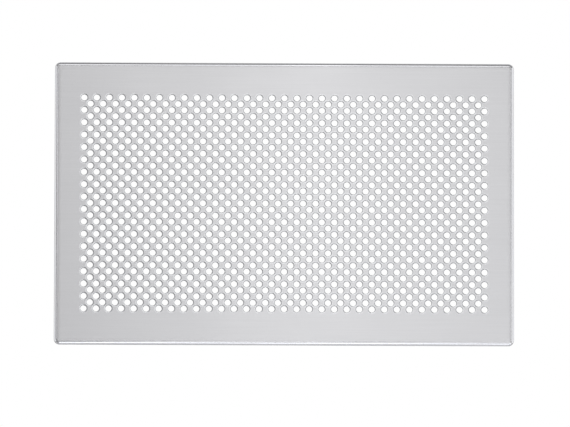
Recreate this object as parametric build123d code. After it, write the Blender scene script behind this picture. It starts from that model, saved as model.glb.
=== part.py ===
from build123d import *
import os

# Queen excluder: a punched stainless sheet held flush inside a welded flat-bar rim.
# Millimetres. The origin is at the centre of the rim's underside, +X runs along the
# long side, +Y towards the back long side and +Z up through the face.

# The hole pattern: round holes on a square grid, with a second grid set between them.
hole_diameter = 5.0  # lets a worker bee through and stops a queen
hole_pitch = 10.0  # centre to centre in a row, and from one main row to the next
hole_columns = 33
hole_rows = 18

# The outline of the whole part: the hole field with its plain border.
side_border = 23.5  # from the outermost hole centres to the short sides
long_border = 28.5  # from the outermost hole centres to the long sides
length = (hole_columns - 1) * hole_pitch + 2 * side_border
width = (hole_rows - 1) * hole_pitch + 2 * long_border
corner_radius = 4.5

# The rim, which holds the sheet clear of the frames below it.
rim_height = 6.0
rim_thickness = 2.5
rim_edge_radius = 2.1  # outer upper edge
rim_foot_chamfer = 0.4  # outer lower edge
seam_chamfer = 0.2  # inner upper edge, which leaves a hairline groove beside the sheet

# The sheet, flush with the top of the rim.
sheet_thickness = 1.0
sheet_length = length - 2 * rim_thickness
sheet_width = width - 2 * rim_thickness
sheet_corner_radius = corner_radius - rim_thickness
sheet_underside = rim_height - sheet_thickness

# The weld at each corner: it fills the open mitre and rounds the corner inside.
mitre_weld_angle = 16.0  # degrees that the filled mitre spans, seen from the corner arc's centre

# The stitch welds that hold the sheet to the rim from below.
stitch_leg = 1.6
stitch_length = 14.0
long_side_stitches = 6
long_side_spacing = 60.0
short_side_stitches = 4
short_side_spacing = 52.0


def hole_centres():
    """Centres of the main grid's holes, then those of the grid set between them."""
    main_grid = GridLocations(hole_pitch, hole_pitch, hole_columns, hole_rows)
    between_grid = GridLocations(hole_pitch, hole_pitch, hole_columns - 1, hole_rows - 1)
    return [place.position for grid in (main_grid, between_grid) for place in grid]


def perforated_sheet():
    """The flat sheet with all its holes."""
    outline = RectangleRounded(sheet_length, sheet_width, sheet_corner_radius)
    holes = [Wire.make_circle(hole_diameter / 2, Plane(centre)) for centre in hole_centres()]
    punched = Face(outline.face().outer_wire(), holes)
    return Pos(0, 0, sheet_underside) * extrude(punched, sheet_thickness)


def rim_ring():
    """The whole rim before it is divided into bars and corner welds."""
    outline = RectangleRounded(length, width, corner_radius)
    outline -= RectangleRounded(sheet_length, sheet_width, sheet_corner_radius)
    ring = extrude(outline, rim_height)
    upper_face = ring.faces().sort_by(Axis.Z)[-1]
    ring = fillet(upper_face.outer_wire().edges(), rim_edge_radius)
    upper_face = ring.faces().sort_by(Axis.Z)[-1]
    ring = chamfer(upper_face.inner_wires()[0].edges(), seam_chamfer)
    lower_face = ring.faces().sort_by(Axis.Z)[0]
    return chamfer(lower_face.outer_wire().edges(), rim_foot_chamfer)


def weld_space():
    """What a corner weld fills, about the corner arc's centre: the mitre and the square corner."""
    ray = Vector(corner_radius * 2, 0)
    mitre_start = ray.rotate(Axis.Z, 45 - mitre_weld_angle / 2)
    mitre_end = ray.rotate(Axis.Z, 45 + mitre_weld_angle / 2)
    mitre = Polygon((0, 0), mitre_start, mitre_end, align=None)
    square = Rectangle(sheet_corner_radius, sheet_corner_radius, align=Align.MIN)
    return extrude(mitre + square, rim_height)


def cut_corners(ring):
    """The corner welds and the four bars between them, by node name."""
    corners = (
        ("back_right", 1, 1, 0),
        ("back_left", -1, 1, 90),
        ("front_left", -1, -1, 180),
        ("front_right", 1, -1, 270),
    )
    pieces = {}
    for name, side_x, side_y, quarter_turn in corners:
        arc_centre = Pos(side_x * (length / 2 - corner_radius), side_y * (width / 2 - corner_radius))
        space = arc_centre * Rot(0, 0, quarter_turn) * weld_space()
        pieces[f"corner_weld_{name}"] = ring & space
        ring = ring - space
    bars = ring.solids()
    pieces["rim_bar_front"] = bars.sort_by(Axis.Y)[0]
    pieces["rim_bar_back"] = bars.sort_by(Axis.Y)[-1]
    pieces["rim_bar_left"] = bars.sort_by(Axis.X)[0]
    pieces["rim_bar_right"] = bars.sort_by(Axis.X)[-1]
    return pieces


def stitch_weld():
    """One round-ended bead along X, a quarter round in the corner under the sheet."""
    straight = stitch_length - 2 * stitch_leg
    bead = Rot(0, 90, 0) * Cylinder(stitch_leg, straight)
    for end in (-1, 1):
        bead += Pos(end * straight / 2, 0, 0) * Sphere(stitch_leg)
    quarter = (Align.CENTER, Align.MIN, Align.MAX)
    return bead & Box(stitch_length, stitch_leg, stitch_leg, align=quarter)


def stitch_row(count, spacing, distance, angle):
    """Stitch welds under one side's edge; at angle 0 that side is the front."""
    bead = Pos(0, -distance, sheet_underside) * stitch_weld()
    first = -(count - 1) * spacing / 2
    row = [Rot(0, 0, angle) * Pos(first + i * spacing, 0, 0) * bead for i in range(count)]
    return Compound(row)


def stitch_rows():
    """The stitch welds of the four sides, by node name."""
    long_side = (long_side_stitches, long_side_spacing, sheet_width / 2)
    short_side = (short_side_stitches, short_side_spacing, sheet_length / 2)
    return {
        "stitch_welds_front": stitch_row(*long_side, 0),
        "stitch_welds_right": stitch_row(*short_side, 90),
        "stitch_welds_back": stitch_row(*long_side, 180),
        "stitch_welds_left": stitch_row(*short_side, 270),
    }


pieces = {"perforated_sheet": perforated_sheet()}
pieces.update(cut_corners(rim_ring()))
pieces.update(stitch_rows())

os.makedirs("parts", exist_ok=True)
for node, shape in pieces.items():
    export_step(shape, f"parts/{node}.step")
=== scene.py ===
import math
import random

import bpy
import numpy as np
from mathutils import Matrix, Vector

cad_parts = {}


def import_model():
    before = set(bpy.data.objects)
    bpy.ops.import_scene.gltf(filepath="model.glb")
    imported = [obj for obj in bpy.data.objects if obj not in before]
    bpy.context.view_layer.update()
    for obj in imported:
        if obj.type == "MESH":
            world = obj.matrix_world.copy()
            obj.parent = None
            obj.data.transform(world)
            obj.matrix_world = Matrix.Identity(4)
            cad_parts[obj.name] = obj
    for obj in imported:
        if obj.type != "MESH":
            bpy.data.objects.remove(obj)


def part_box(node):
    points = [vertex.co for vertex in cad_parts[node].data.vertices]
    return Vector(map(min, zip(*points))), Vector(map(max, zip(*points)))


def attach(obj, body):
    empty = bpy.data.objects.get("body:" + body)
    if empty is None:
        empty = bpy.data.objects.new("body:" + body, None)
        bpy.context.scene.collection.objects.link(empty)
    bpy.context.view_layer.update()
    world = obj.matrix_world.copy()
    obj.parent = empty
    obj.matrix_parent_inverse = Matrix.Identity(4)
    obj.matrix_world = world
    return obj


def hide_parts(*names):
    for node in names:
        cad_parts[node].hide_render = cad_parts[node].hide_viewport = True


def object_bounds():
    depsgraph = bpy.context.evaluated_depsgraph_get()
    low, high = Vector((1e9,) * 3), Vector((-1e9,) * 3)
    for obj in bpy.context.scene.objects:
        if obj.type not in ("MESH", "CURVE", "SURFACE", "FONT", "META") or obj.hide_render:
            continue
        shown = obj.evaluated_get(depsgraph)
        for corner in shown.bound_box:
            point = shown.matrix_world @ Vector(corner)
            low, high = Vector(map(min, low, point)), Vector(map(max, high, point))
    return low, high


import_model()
cad_low, cad_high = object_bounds()

MM = 0.001

# The hole pattern, as in the CAD model.
HOLE_RADIUS = 2.5 * MM
PITCH = 10.0 * MM
COLUMNS = 33
ROWS = 18
HOLE_SIDES = 20  # a multiple of four, so that each corner of a hole's cell faces a vertex

# The sheet and the rim, from the CAD model's boxes.
SHEET_LOW, SHEET_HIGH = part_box("perforated_sheet")
TOP = SHEET_HIGH.z
UNDERSIDE = SHEET_LOW.z
BASE = cad_low[2]
HALF_LENGTH = SHEET_HIGH.x
HALF_WIDTH = SHEET_HIGH.y
RIM_THICKNESS = cad_high[0] - HALF_LENGTH

# Edge sizes that the CAD boxes don't show.
INNER_RADIUS = 2.0 * MM
OUTER_RADIUS = INNER_RADIUS + RIM_THICKNESS
RIM_EDGE_RADIUS = 2.1 * MM
RIM_FOOT_CHAMFER = 0.4 * MM
SEAM_RADIUS = 0.2 * MM
SHEET_EDGE_RADIUS = 0.25 * MM
SHEET_EDGE_DIP = 0.09 * MM  # how far the sheet is drawn down at the seam
SHEET_DIP_WIDTH = 2.6 * MM
STEEPEST_DIP = 0.3  # the dip is less steep than this and the rounded edge beyond it is steeper, in radians
PUNCH_ROLL_WIDTH = 0.95 * MM  # the punch draws the face down round each hole, more and more
PUNCH_ROLL_DEPTH = 0.2 * MM

# The welds, as in the CAD model.
CORNER_WELD_HALF_ANGLE = math.radians(8)
STITCH_LEG = 1.6 * MM
STITCH_LENGTH = 14.0 * MM
LONG_SIDE_STITCHES = 6
LONG_SIDE_SPACING = 60.0 * MM
SHORT_SIDE_STITCHES = 4
SHORT_SIDE_SPACING = 52.0 * MM

# How finely round forms are divided, and the welds' ripples and heat tint, which the CAD model leaves out.
CORNER_STEPS = 8
EDGE_STEPS = 12
SEAM_STEPS = 4
RIPPLE_PITCH = 1.1 * MM
HEAT_SPREAD = 7.0 * MM
CORNER_RIPPLE_DEPTH = 0.06 * MM
CORNER_RIPPLE_LEAN = 0.35
CORNER_WELD_REACH = math.radians(40.5)
STITCH_SECTIONS = 57
STITCH_STEPS = 8
STITCH_RIPPLE_SHARE = 0.05
STITCH_RIPPLE_LEAN = 0.3
STITCH_RIPPLE_BOW = 1.6

# The stage: the table lies just under the part, and its lit strips just above the table.
TABLE_GAP = 0.05 * MM
TABLE_HALF_SIZE = 12.0

UP = (0.0, 0.0, 1.0)
DOWN = (0.0, 0.0, -1.0)
QUARTER = math.pi / 2
FACINGS = {"right": 0.0, "back": QUARTER, "left": math.pi, "front": -QUARTER}


# ---------------------------------------------------------------- mesh building


class Builder:
    """Gathers faces with their own normals and grain coordinates; points at one place are shared."""

    def __init__(self):
        self.points = []
        self.known = {}
        self.faces = []
        self.normals = []
        self.grain = []
        self.slots = []

    def point(self, x, y, z):
        key = (round(x, 7), round(y, 7), round(z, 7))
        if key not in self.known:
            self.known[key] = len(self.points)
            self.points.append((x, y, z))
        return self.known[key]

    def face(self, corners, slot=0):
        """Corners are (place, normal, grain) triples, anticlockwise seen from outside."""
        kept = {}
        for place, normal, grain in corners:
            kept.setdefault(self.point(*place), (normal, grain))
        if len(kept) < 3:
            return
        self.faces.append(tuple(kept))
        self.normals.extend(normal for normal, _ in kept.values())
        self.grain.extend(grain for _, grain in kept.values())
        self.slots.append(slot)

    def level(self, places, up):
        """A level face given by its (x, y, z) places anticlockwise from above, its grain along X."""
        places = places if up else places[::-1]
        self.face([(place, UP if up else DOWN, place[:2]) for place in places])

    def build(self, name, *materials):
        mesh = bpy.data.meshes.new(name)
        mesh.from_pydata(self.points, [], self.faces)
        layer = mesh.uv_layers.new(name="grain")
        layer.data.foreach_set("uv", np.array(self.grain, np.float32).ravel())
        mesh.polygons.foreach_set("material_index", self.slots)
        mesh.polygons.foreach_set("use_smooth", [True] * len(self.faces))
        mesh.normals_split_custom_set(self.normals)
        for material in materials:
            mesh.materials.append(material)
        piece = bpy.data.objects.new(name, mesh)
        bpy.context.scene.collection.objects.link(piece)
        return piece


def on_circle(radius, angle):
    return radius * math.cos(angle), radius * math.sin(angle)


# ---------------------------------------------------------------- the punched sheet


def hole_centres():
    """Centres of the main grid's holes and of the grid between them."""
    for columns, rows in ((COLUMNS, ROWS), (COLUMNS - 1, ROWS - 1)):
        for row in range(rows):
            for column in range(columns):
                yield (column - (columns - 1) / 2) * PITCH, (row - (rows - 1) / 2) * PITCH


def cell_face(builder, x, y, radius, z, up):
    """The flat between one hole's edge and the four corners of its cell."""
    around = [(x + dx, y + dy, z) for dx, dy in (on_circle(PITCH / 2, QUARTER * k) for k in range(5))]
    quarter = HOLE_SIDES // 4
    middle = quarter // 2
    for side in range(4):
        first, second = around[side], around[side + 1]
        angles = [QUARTER * side + QUARTER * k / quarter for k in range(quarter + 1)]
        edge = [(x + dx, y + dy, z) for dx, dy in (on_circle(radius, angle) for angle in angles)]
        for k in range(quarter):
            builder.level([first if k < middle else second, edge[k + 1], edge[k]], up)
        builder.level([first, second, edge[middle]], up)


def hole_lining(builder, x, y):
    """The face drawn down round one hole, and the hole's wall."""
    roll = []
    for share in (0.0, 0.5, 1.0):
        radius = HOLE_RADIUS + PUNCH_ROLL_WIDTH * (1 - share)
        tilt = math.atan(2 * PUNCH_ROLL_DEPTH / PUNCH_ROLL_WIDTH * share)
        roll.append((radius, TOP - PUNCH_ROLL_DEPTH * share**2, tilt))
    wall = [(HOLE_RADIUS, TOP - PUNCH_ROLL_DEPTH, QUARTER), (HOLE_RADIUS, UNDERSIDE, QUARTER)]
    angles = [2 * math.pi * k / HOLE_SIDES for k in range(HOLE_SIDES + 1)]
    for upper, lower in (*zip(roll, roll[1:]), wall):
        for left, right in zip(angles, angles[1:]):
            corners = []
            for level, angle in ((upper, left), (upper, right), (lower, right), (lower, left)):
                radius, z, tilt = level
                dx, dy = on_circle(radius, angle % (2 * math.pi))
                normal = (*on_circle(-math.sin(tilt), angle), math.cos(tilt))
                corners.append(((x + dx, y + dy, z), normal, (angle * HOLE_RADIUS, z)))
            builder.face(corners, slot=1)


def edge_cells(builder, z, up):
    """The half cells that straighten the hole field's saw-toothed outline."""
    span_x, span_y, reach = COLUMNS * PITCH / 2, ROWS * PITCH / 2, PITCH / 2
    for side in (-1, 1):
        cells = []
        for k in range(COLUMNS - 1):
            x, y = (k - (COLUMNS - 2) / 2) * PITCH, side * span_y
            cells.append([(x - reach, y), (x + reach, y), (x, y - side * reach)])
        for k in range(ROWS - 1):
            x, y = side * span_x, (k - (ROWS - 2) / 2) * PITCH
            cells.append([(x, y - reach), (x, y + reach), (x - side * reach, y)])
        for end in (-1, 1):
            x, y = end * span_x, side * span_y
            cells.append([(x, y), (x - end * reach, y), (x, y - side * reach)])
        for cell in cells:
            (ax, ay), (bx, by), (cx, cy) = cell
            anticlockwise = (bx - ax) * (cy - ay) > (by - ay) * (cx - ax)
            cell = cell if anticlockwise else cell[::-1]
            builder.level([(x, y, z) for x, y in cell], up)


def border_walk():
    """Stations round the plain border, anticlockwise.

    Each is a point on the hole field's boundary, a point on the sheet's outline, the outward
    direction there, and the way that lines set in from the outline go beyond a corner arc's centre.
    """
    span_x, span_y = COLUMNS * PITCH / 2, ROWS * PITCH / 2
    walk = []
    for turn in range(4):
        outward = tuple(round(v) for v in on_circle(1, QUARTER * (turn - 1)))
        onward = (-outward[1], outward[0])
        count = ROWS if outward[0] else COLUMNS
        for k in range(count):
            along = (k - (count - 1) / 2) * PITCH
            x, y = onward[0] * along, onward[1] * along
            field = (x + outward[0] * span_x, y + outward[1] * span_y)
            foot = (x + outward[0] * HALF_LENGTH, y + outward[1] * HALF_WIDTH)
            walk.append((field, foot, outward, outward))
        corner = (outward[0] + onward[0], outward[1] + onward[1])
        centre = (corner[0] * (HALF_LENGTH - INNER_RADIUS), corner[1] * (HALF_WIDTH - INNER_RADIUS))
        for k in range(CORNER_STEPS + 1):
            facing = on_circle(1, QUARTER * (turn - 1 + k / CORNER_STEPS))
            foot = (centre[0] + INNER_RADIUS * facing[0], centre[1] + INNER_RADIUS * facing[1])
            walk.append(((corner[0] * span_x, corner[1] * span_y), foot, facing, corner))
    return walk + walk[:1]


def set_in(station, back):
    """The place at a distance in from the sheet's outline."""
    _, foot, facing, beyond = station
    near, far = min(back, INNER_RADIUS), max(back - INNER_RADIUS, 0)
    return foot[0] - facing[0] * near - beyond[0] * far, foot[1] - facing[1] * near - beyond[1] * far


def edge_levels():
    """The sheet's section at its edge: (distance in from the edge, height, tilt of the surface)."""
    levels = []
    radius, dip, reach = SHEET_EDGE_RADIUS, SHEET_EDGE_DIP, SHEET_DIP_WIDTH
    for share in (1.0, 0.75, 0.5, 0.25, 0.0):
        slope = 2 * dip / reach * (1 - share)
        levels.append((radius + share * reach, TOP - dip * (1 - share) ** 2, math.atan(slope)))
    for tilt in np.linspace(0, QUARTER, SEAM_STEPS + 1)[1:]:
        levels.append((radius * (1 - math.sin(tilt)), TOP - dip - radius * (1 - math.cos(tilt)), tilt))
    levels.append((0, UNDERSIDE, QUARTER))
    return levels


def plain_border(builder):
    """The border outside the hole field, and the sheet's own edge all round."""
    levels = edge_levels()
    walk = border_walk()
    travel = 0.0
    for here, there in zip(walk, walk[1:]):
        step = math.dist(here[1], there[1])
        for z, back, up in ((TOP, levels[0][0], True), (UNDERSIDE, 0, False)):
            places = (here[0], set_in(here, back), set_in(there, back), there[0])
            builder.level([(*place, z) for place in places], up)
        for upper, lower in zip(levels, levels[1:]):
            corners = []
            for (back, z, tilt), at_next in ((upper, 0), (lower, 0), (lower, 1), (upper, 1)):
                station = there if at_next else here
                out_x, out_y = station[2]
                place = set_in(station, back)
                normal = (out_x * math.sin(tilt), out_y * math.sin(tilt), math.cos(tilt))
                over_dip = upper[2] < STEEPEST_DIP  # here the face's grain runs on
                grain = place if over_dip else (travel + at_next * step, z)
                corners.append(((*place, z), normal, grain))
            builder.face(corners)
        travel += step


def punched_sheet(face_material, hole_material):
    builder = Builder()
    for x, y in hole_centres():
        hole_lining(builder, x, y)
        cell_face(builder, x, y, HOLE_RADIUS + PUNCH_ROLL_WIDTH, TOP, up=True)
        cell_face(builder, x, y, HOLE_RADIUS, UNDERSIDE, up=False)
    edge_cells(builder, TOP, up=True)
    edge_cells(builder, UNDERSIDE, up=False)
    plain_border(builder)
    return builder.build("punched_sheet", face_material, hole_material)


# ---------------------------------------------------------------- the rim


def rim_profile(rippled=False):
    """The rim's section: (distance from a corner arc's centre, height, normal) triples.

    It runs from the foot of the inner face over the top and round the outer edge back to the foot.
    A sharp edge is two triples at one place. A weld's inner face is rippled below the sheet.
    """
    inner, outer, edge, seam = INNER_RADIUS, OUTER_RADIUS, RIM_EDGE_RADIUS, SEAM_RADIUS
    foot = RIM_FOOT_CHAMFER
    slope = math.sqrt(0.5)
    profile = [(inner, BASE, (-1, 0))]
    if rippled:
        for z in np.linspace(BASE, UNDERSIDE, 50)[1:-1]:
            phase = 2 * math.pi * (z - BASE) / RIPPLE_PITCH
            lean = CORNER_RIPPLE_LEAN * math.sin(phase)
            across = inner - CORNER_RIPPLE_DEPTH * (1 - math.cos(phase))
            profile.append((across, z, (-math.cos(lean), math.sin(lean))))
    profile.append((inner, UNDERSIDE, (-1, 0)))
    for turn in np.linspace(0, QUARTER, SEAM_STEPS + 1):
        place = (inner + seam * (1 - math.cos(turn)), TOP - seam * (1 - math.sin(turn)))
        profile.append((*place, (-math.cos(turn), math.sin(turn))))
    for turn in np.linspace(0, QUARTER, EDGE_STEPS + 1):
        place = (outer - edge * (1 - math.sin(turn)), TOP - edge * (1 - math.cos(turn)))
        profile.append((*place, (math.sin(turn), math.cos(turn))))
    profile += [(outer, BASE + foot, (1, 0)), (outer, BASE + foot, (slope, -slope))]
    profile += [(outer - foot, BASE, (slope, -slope)), (outer - foot, BASE, (0, -1))]
    profile.append((inner, BASE, (0, -1)))
    return profile


def rim_height_at(across):
    """The height of the rim's upper surface at a distance from the corner arc's centre."""
    into_edge = across - (OUTER_RADIUS - RIM_EDGE_RADIUS)
    if into_edge <= 0:
        return TOP
    return TOP - RIM_EDGE_RADIUS + math.sqrt(max(RIM_EDGE_RADIUS**2 - into_edge**2, 0))


def cut_profile(profile, least=0.0, most=1.0):
    """The section cut to a range of distances from the corner arc's centre."""
    result = []
    for across, z, normal in profile:
        kept = min(max(across, least), most)
        result.append((kept, z if kept == across else min(z, rim_height_at(kept)), normal))
    return result


def square_corner(angle):
    """How far the bars' square inner corner is from the corner arc's centre, in one direction."""
    return INNER_RADIUS / max(abs(math.cos(angle)), abs(math.sin(angle)))


def arc_centre(diagonal):
    """The centre of the corner arcs at the corner that lies in a diagonal direction."""
    side_x = math.copysign(1, math.cos(diagonal))
    side_y = math.copysign(1, math.sin(diagonal))
    return side_x * (HALF_LENGTH - INNER_RADIUS), side_y * (HALF_WIDTH - INNER_RADIUS)


def loft(builder, stations):
    """Skins (profile, centre, angle) sections that follow each other anticlockwise round the rim."""
    rows, travel, last = [], 0.0, None
    for profile, centre, angle in stations:
        out_x, out_y = on_circle(1, angle)
        middle = (centre[0] + out_x * OUTER_RADIUS, centre[1] + out_y * OUTER_RADIUS)
        travel += math.dist(middle, last) if last else 0.0
        last = middle
        row, girth = [], 0.0
        for k, (across, z, (n_out, n_up)) in enumerate(profile):
            girth += math.dist(profile[k - 1][:2], (across, z)) if k else 0.0
            place = (centre[0] + out_x * across, centre[1] + out_y * across, z)
            row.append((place, (out_x * n_out, out_y * n_out, n_up), (travel, girth)))
        rows.append(row)
    for here, there in zip(rows, rows[1:]):
        for k in range(len(here) - 1):
            builder.face([here[k], here[k + 1], there[k + 1], there[k]])
    for row, angle, sign in ((rows[0][::-1], stations[0][2], -1), (rows[-1], stations[-1][2], 1)):
        normal = (-sign * math.sin(angle), sign * math.cos(angle), 0.0)
        builder.face([(place, normal, grain) for place, _, grain in row])


def rim_bar(name, facing, material):
    """One bar, from the mitre at the corner before it to the mitre at the corner after it."""
    profile = rim_profile()
    stations = []
    for end in (-1, 1):
        centre = arc_centre(facing + end * QUARTER / 2)
        turns = np.linspace(0, QUARTER / 2 - CORNER_WELD_HALF_ANGLE, 8)
        for turn in turns if end > 0 else turns[::-1]:
            angle = facing + end * turn
            stations.append((cut_profile(profile, least=square_corner(angle)), centre, angle))
    builder = Builder()
    loft(builder, stations)
    return builder.build(name, material)


def corner_weld(name, diagonal, material):
    """The weld that fills one mitre and rounds the square corner inside it."""
    profile = rim_profile(rippled=True)
    half = CORNER_WELD_HALF_ANGLE
    centre = arc_centre(diagonal)
    fillet_before = np.linspace(-CORNER_WELD_REACH, -half, 7)
    mitre = np.linspace(-half, half, 5)
    fillet_after = np.linspace(half, CORNER_WELD_REACH, 7)
    stations = []
    for turns, is_fillet in ((fillet_before, True), (mitre, False), (fillet_after, True)):
        for turn in turns:
            angle = diagonal + turn
            section = cut_profile(profile, most=square_corner(angle)) if is_fillet else profile
            stations.append((section, centre, angle))
    builder = Builder()
    loft(builder, stations)
    return builder.build(name, material)


# ---------------------------------------------------------------- the stitch welds


def stitch_bead(builder, start, along, inward, chance):
    """One bead in the corner under the sheet, with a welder's ripples; start is its middle on the rim."""
    phase = chance.uniform(0, 2 * math.pi)
    sections = []
    for s in np.linspace(-1, 1, STITCH_SECTIONS):
        move = s * STITCH_LENGTH / 2
        from_end = STITCH_LENGTH / 2 - abs(move)
        rounded = min(from_end, STITCH_LEG)
        size = math.sqrt(max(STITCH_LEG**2 - (STITCH_LEG - rounded) ** 2, 0))
        root = (start[0] + along[0] * move, start[1] + along[1] * move, UNDERSIDE)
        row = []
        for turn in np.linspace(0, QUARTER, STITCH_STEPS + 1):
            bow = STITCH_RIPPLE_BOW * math.sin(2 * turn)
            crescent = 2 * math.pi * move / RIPPLE_PITCH + bow + phase
            radius = size * (1 - STITCH_RIPPLE_SHARE + STITCH_RIPPLE_SHARE * math.sin(crescent))
            lean = STITCH_RIPPLE_LEAN * math.cos(crescent) * min(1, from_end / STITCH_LEG)
            side, drop = math.cos(turn), math.sin(turn)
            place = (root[0] + inward[0] * side * radius, root[1] + inward[1] * side * radius,
                     UNDERSIDE - drop * radius)
            end_lean = math.copysign(1 - rounded / STITCH_LEG, s) - lean
            normal = Vector((inward[0] * side + along[0] * end_lean,
                             inward[1] * side + along[1] * end_lean, -drop)).normalized()
            row.append((place, tuple(normal), (move, turn * STITCH_LEG)))
        sections.append((row, root, (move, 0.0)))
    rear = (-inward[0], -inward[1], 0.0)
    for (row, root, grain), (next_row, next_root, next_grain) in zip(sections, sections[1:]):
        for k in range(len(row) - 1):
            builder.face([row[k], row[k + 1], next_row[k + 1], next_row[k]])
        edge, next_edge = row[0][0], next_row[0][0]
        foot, next_foot = row[-1][0], next_row[-1][0]
        top_face = ((root, grain), (edge, grain), (next_edge, next_grain), (next_root, next_grain))
        rear_face = ((root, grain), (next_root, next_grain), (next_foot, next_grain), (foot, grain))
        for face, normal in ((top_face, UP), (rear_face, rear)):
            builder.face([(place, normal, where) for place, where in face])


def stitch_row(name, facing, count, spacing, material):
    """The beads along one side."""
    outward = on_circle(1, facing)
    along = (outward[1], -outward[0])
    inward = (-outward[0], -outward[1])
    reach = HALF_LENGTH if abs(outward[0]) > 0.5 else HALF_WIDTH
    chance = random.Random(name)
    builder = Builder()
    for k in range(count):
        place = (k - (count - 1) / 2) * spacing
        start = (outward[0] * reach + along[0] * place, outward[1] * reach + along[1] * place)
        stitch_bead(builder, start, along, inward, chance)
    return builder.build(name, material)


# ---------------------------------------------------------------- materials


class Nodes:
    """A node tree, with short calls for the nodes used here."""

    def __init__(self, tree):
        self.tree = tree
        self.links = tree.links

    def node(self, kind, inputs=(), **settings):
        node = self.tree.nodes.new(kind)
        for setting, value in settings.items():
            setattr(node, setting, value)
        for socket, value in dict(inputs).items():
            if isinstance(value, bpy.types.NodeSocket):
                self.links.new(value, node.inputs[socket])
            else:
                node.inputs[socket].default_value = value
        return node

    def math(self, operation, *values):
        return self.node("ShaderNodeMath", enumerate(values), operation=operation).outputs[0]

    def scaled(self, value, low, high, from_low=0.0, from_high=1.0):
        inputs = {"Value": value, "From Min": from_low, "From Max": from_high, "To Min": low, "To Max": high}
        return self.node("ShaderNodeMapRange", inputs).outputs["Result"]

    def axes(self, place):
        return self.node("ShaderNodeSeparateXYZ", {"Vector": place}).outputs

    def seen_and_lit(self, seen, lit, output):
        """What the camera sees is one shader, and what lights the object is another."""
        path = self.node("ShaderNodeLightPath")
        inputs = {"Fac": path.outputs["Is Camera Ray"], 1: lit.outputs[0], 2: seen.outputs[0]}
        mix = self.node("ShaderNodeMixShader", inputs)
        self.links.new(mix.outputs[0], self.tree.nodes[output].inputs["Surface"])


class Shader(Nodes):
    """A node material."""

    def __init__(self, name, **constants):
        self.material = bpy.data.materials.new(name)
        self.material.use_nodes = True
        super().__init__(self.material.node_tree)
        self.surface = self.tree.nodes["Principled BSDF"]
        for socket, value in constants.items():
            self.surface.inputs[socket.replace("_", " ")].default_value = value

    def grain_place(self):
        return self.node("ShaderNodeUVMap", uv_map="grain").outputs["UV"]

    def place(self):
        return self.node("ShaderNodeTexCoord").outputs["Object"]

    def noise(self, place, stretch, detail=2.0, roughness=0.5):
        """Noise with so many features to the metre along each axis of place."""
        mapped = self.node("ShaderNodeMapping", {"Vector": place, "Scale": stretch}).outputs["Vector"]
        inputs = {"Vector": mapped, "Scale": 1.0, "Detail": detail, "Roughness": roughness}
        return self.node("ShaderNodeTexNoise", inputs).outputs["Fac"]

    def mix(self, factor, first, second):
        """Sockets 6 and 7 are the colours that the mix is made from."""
        inputs = {"Factor": factor, 6: first, 7: second}
        return self.node("ShaderNodeMix", inputs, data_type="RGBA").outputs[2]

    def grain_tangent(self):
        tangent = self.node("ShaderNodeTangent", direction_type="UV_MAP", uv_map="grain")
        self.links.new(tangent.outputs["Tangent"], self.surface.inputs["Tangent"])

    def bump(self, height, distance, strength=1.0):
        inputs = {"Height": height, "Distance": distance, "Strength": strength}
        normal = self.node("ShaderNodeBump", inputs).outputs["Normal"]
        self.links.new(normal, self.surface.inputs["Normal"])

    def finish(self, colour, roughness):
        self.links.new(colour, self.surface.inputs["Base Color"])
        self.links.new(roughness, self.surface.inputs["Roughness"])
        return self.material


def heat_near_stitches(shader):
    """1 beside the stitch welds under the sheet, falling to 0 within a few millimetres."""
    x, y, z = shader.axes(shader.place())
    nearest = None
    sides = (x, y, HALF_WIDTH, LONG_SIDE_SPACING), (y, x, HALF_LENGTH, SHORT_SIDE_SPACING)
    for along, across, reach, spacing in sides:
        in_row = shader.math("WRAP", along, 0.0, spacing)
        from_middle = shader.math("ABSOLUTE", shader.math("SUBTRACT", in_row, spacing / 2))
        past_end = shader.math("MAXIMUM", shader.math("SUBTRACT", from_middle, STITCH_LENGTH / 2), 0.0)
        inside = shader.math("SUBTRACT", reach, shader.math("ABSOLUTE", across))
        off_row = shader.math("MAXIMUM", inside, shader.math("MULTIPLY", inside, -3.0))
        squares = [shader.math("POWER", value, 2.0) for value in (past_end, off_row)]
        away = shader.math("SQRT", shader.math("ADD", *squares))
        nearest = away if nearest is None else shader.math("MINIMUM", nearest, away)
    heat = shader.scaled(nearest, 1.0, 0.0, 0.0, HEAT_SPREAD)
    below = shader.scaled(z, 1.0, 0.0, UNDERSIDE, TOP - 0.3 * MM)
    return shader.math("MULTIPLY", heat, below)


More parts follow.
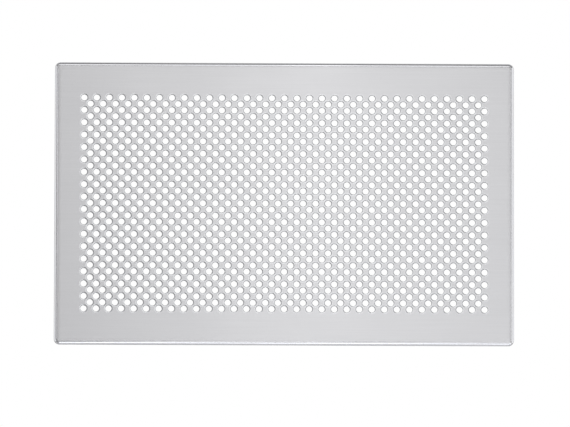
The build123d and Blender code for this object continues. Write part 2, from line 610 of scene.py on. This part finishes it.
def brushed_steel(name, tone, grain_depth, roughness, anisotropy):
    """Stainless steel brushed along its grain coordinates, straw and blue beside the stitch welds."""
    shader = Shader(name, Metallic=1.0, Anisotropic=anisotropy, Anisotropic_Rotation=0.25)
    shader.grain_tangent()
    place = shader.grain_place()
    fine = shader.noise(place, (90, 5200, 1), detail=3.0, roughness=0.6)
    streaks = shader.noise(place, (14, 900, 1), detail=2.0)
    clouds = shader.noise(place, (16, 22, 1), detail=3.0)
    light = shader.math("ADD", shader.scaled(fine, -0.035, 0.035), shader.scaled(streaks, -0.03, 0.03))
    light = shader.math("ADD", light, shader.scaled(clouds, -0.012, 0.012))
    light = shader.scaled(light, 0.0, 1.0, -0.08, 0.08)
    dark_tone = (*(c * 0.9 for c in tone), 1.0)
    light_tone = (*(min(c * 1.1, 1.0) for c in tone), 1.0)
    colour = shader.mix(light, dark_tone, light_tone)
    rough = shader.scaled(clouds, roughness - 0.04, roughness + 0.04)
    rough = shader.math("ADD", rough, shader.scaled(fine, -0.05, 0.05))
    warm = heat_near_stitches(shader)
    colour = shader.mix(shader.math("MULTIPLY", warm, 0.75), colour, (0.52, 0.36, 0.17, 1.0))
    colour = shader.mix(shader.scaled(warm, 0.0, 0.8, 0.55, 1.0), colour, (0.28, 0.29, 0.4, 1.0))
    grain = shader.math("ADD", fine, shader.math("MULTIPLY", streaks, 1.5))
    shader.bump(grain, grain_depth)
    return shader.finish(colour, rough)


def punched_edge():
    """The smooth rolled edge and the sheared wall of the holes, with fine upright scores."""
    shader = Shader("punched_edge", Metallic=1.0, Anisotropic=0.2)
    place = shader.grain_place()
    scores = shader.noise(place, (7000, 500, 1), detail=2.0)
    shade = shader.noise(shader.place(), (300, 300, 300))
    colour = shader.mix(shader.scaled(shade, 0.2, 0.8), (0.53, 0.535, 0.55, 1), (0.65, 0.655, 0.67, 1))
    shader.bump(scores, 0.01 * MM, 0.5)
    return shader.finish(colour, shader.scaled(scores, 0.16, 0.3))


def weld_metal(name, ground):
    """Weld metal: straw and blue oxide in bands across the bead, brightened where it is ground."""
    shader = Shader(name, Metallic=1.0)
    place = shader.place()
    patches = shader.noise(place, (260, 260, 260), detail=4.0)
    fine = shader.noise(place, (2600, 2600, 2600), detail=2.0)
    banded = shader.scaled(patches, 0.0, 1.0, 0.35, 0.65)
    oxide = shader.mix(banded, (0.42, 0.34, 0.24, 1), (0.3, 0.32, 0.38, 1))
    colour = shader.mix(ground, oxide, (0.56, 0.56, 0.57, 1))
    shader.bump(shader.math("ADD", fine, patches), 0.03 * MM, 0.6)
    return shader.finish(colour, shader.scaled(fine, 0.3, 0.55))


# ---------------------------------------------------------------- stage, lights and camera


def floor():
    """A pale table: plain white to the camera, and an ordinary matt surface to the light."""
    shader = Shader("pale_floor")
    grain = shader.noise(shader.place(), (3, 3, 3))
    colour = shader.mix(grain, (0.69, 0.69, 0.7, 1), (0.73, 0.73, 0.74, 1))
    shader.finish(colour, shader.scaled(grain, 0.75, 0.85))
    white = shader.node("ShaderNodeEmission", {"Strength": 1.0})
    shader.seen_and_lit(white, shader.surface, "Material Output")
    mesh = bpy.data.meshes.new("floor")
    square = ((-1, -1), (1, -1), (1, 1), (-1, 1))
    places = [(TABLE_HALF_SIZE * x, TABLE_HALF_SIZE * y, BASE - TABLE_GAP) for x, y in square]
    mesh.from_pydata(places, [], [(0, 1, 2, 3)])
    mesh.materials.append(shader.material)
    piece = bpy.data.objects.new("floor", mesh)
    bpy.context.scene.collection.objects.link(piece)


def world():
    """A pale backdrop, which lights the object only dimly."""
    studio = bpy.data.worlds.new("studio")
    studio.use_nodes = True
    nodes = Nodes(studio.node_tree)
    lit = nodes.node("ShaderNodeBackground", {"Color": (0.99, 0.99, 1.0, 1.0), "Strength": 0.36})
    seen = nodes.node("ShaderNodeBackground", {"Color": (0.95, 0.95, 0.95, 1.0)})
    nodes.seen_and_lit(seen, lit, "World Output")
    bpy.context.scene.world = studio


def panel(name, place, size, radiance, aim=None, spin=0.0, tint=(1.0, 1.0, 1.0)):
    """A soft light panel that the camera doesn't see; it faces straight down unless it has an aim."""
    light = bpy.data.lights.new(name, "AREA")
    light.shape = "RECTANGLE"
    light.size, light.size_y = size
    light.energy = radiance * math.pi * size[0] * size[1]
    light.color = tint
    lamp = bpy.data.objects.new(name, light)
    back = Vector(place) - Vector(aim or (place[0], place[1], 0))
    turn = back.to_track_quat("Z", "Y").to_matrix() @ Matrix.Rotation(math.radians(spin), 3, "Z")
    lamp.matrix_world = turn.to_4x4()
    lamp.location = place
    lamp.visible_camera = False
    bpy.context.scene.collection.objects.link(lamp)


def table_strip(x, y, size):
    """A strip of lit table, which the rim's side reflects."""
    panel("table", (x, y, BASE + TABLE_GAP), size, 0.5, aim=(x, y, 1))


def lights():
    """Soft panels overhead, in front and at both ends, and lit table in front and beyond each end."""
    panel("overhead", (0.038, 0.24, 1.0), (0.575, 1.04), 1.04, spin=18)
    panel("middle", (0.03, 0.12, 0.25), (0.05, 0.50), 0.25)
    panel("front", (0.37, -0.757, 0.552), (1.26, 0.60), 1.8, aim=(0.37, -0.11, 0), tint=(0.94, 0.96, 1.0))
    table_strip(0, -0.22, (0.36, 0.2))
    for side, height, radiance in ((-1, 1.1, 0.75), (1, 1.35, 0.9)):
        panel("end", (side * 1.1, 0, height / 2), (1.4, height), radiance, aim=(0, 0, height / 2))
        table_strip(side * 0.42, 0, (0.46, 0.5))


def camera():
    """A long lens far above the plate, tipped a little towards its front edge."""
    azimuth, elevation, roll = (math.radians(v) for v in (-5.9, 82.05, 6.08))
    target = Vector((0.6 * MM, -8.05 * MM, TOP))
    distance = 9.0
    aside, along = on_circle(math.cos(elevation), azimuth)
    back = Vector((along, -aside, math.sin(elevation)))
    right = Vector(UP).cross(back).normalized()
    upward = back.cross(right)
    turned_right = right * math.cos(roll) + upward * math.sin(roll)
    turned_up = upward * math.cos(roll) - right * math.sin(roll)
    lens = bpy.data.cameras.new("camera")
    lens.lens = 712.0
    lens.sensor_width = 36.0
    lens.clip_end = 100.0
    view = bpy.data.objects.new("camera", lens)
    view.matrix_world = Matrix((turned_right, turned_up, back)).transposed().to_4x4()
    view.location = target + back * distance
    bpy.context.scene.collection.objects.link(view)
    bpy.context.scene.camera = view


# ---------------------------------------------------------------- putting it together


def stands_for(piece, node):
    """The piece shows in place of a CAD node, which keeps its collision and mass."""
    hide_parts(node)
    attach(piece, "root")


bpy.context.scene.view_settings.view_transform = "Standard"

sheet_steel = brushed_steel("sheet_steel", (0.672, 0.67, 0.68), 0.004 * MM, roughness=0.45, anisotropy=0.5)
rim_steel = brushed_steel("rim_steel", (0.66, 0.66, 0.68), 0.0012 * MM, roughness=0.17, anisotropy=0.3)
ground_weld = weld_metal("ground_weld", 0.8)
raw_weld = weld_metal("raw_weld", 0.15)

stands_for(punched_sheet(sheet_steel, punched_edge()), "perforated_sheet")

for side, facing in FACINGS.items():
    stands_for(rim_bar(f"bar_{side}", facing, rim_steel), f"rim_bar_{side}")
    if side in ("front", "back"):
        count, spacing = LONG_SIDE_STITCHES, LONG_SIDE_SPACING
    else:
        count, spacing = SHORT_SIDE_STITCHES, SHORT_SIDE_SPACING
    beads = stitch_row(f"stitches_{side}", facing, count, spacing, raw_weld)
    stands_for(beads, f"stitch_welds_{side}")

for corner in ("back_right", "back_left", "front_left", "front_right"):
    side_y, side_x = (FACINGS[word] for word in corner.split("_"))
    diagonal = math.atan2(math.sin(side_y), math.cos(side_x))
    stands_for(corner_weld(f"weld_{corner}", diagonal, ground_weld), f"corner_weld_{corner}")

floor()
world()
lights()
camera()

bpy.context.view_layer.update()
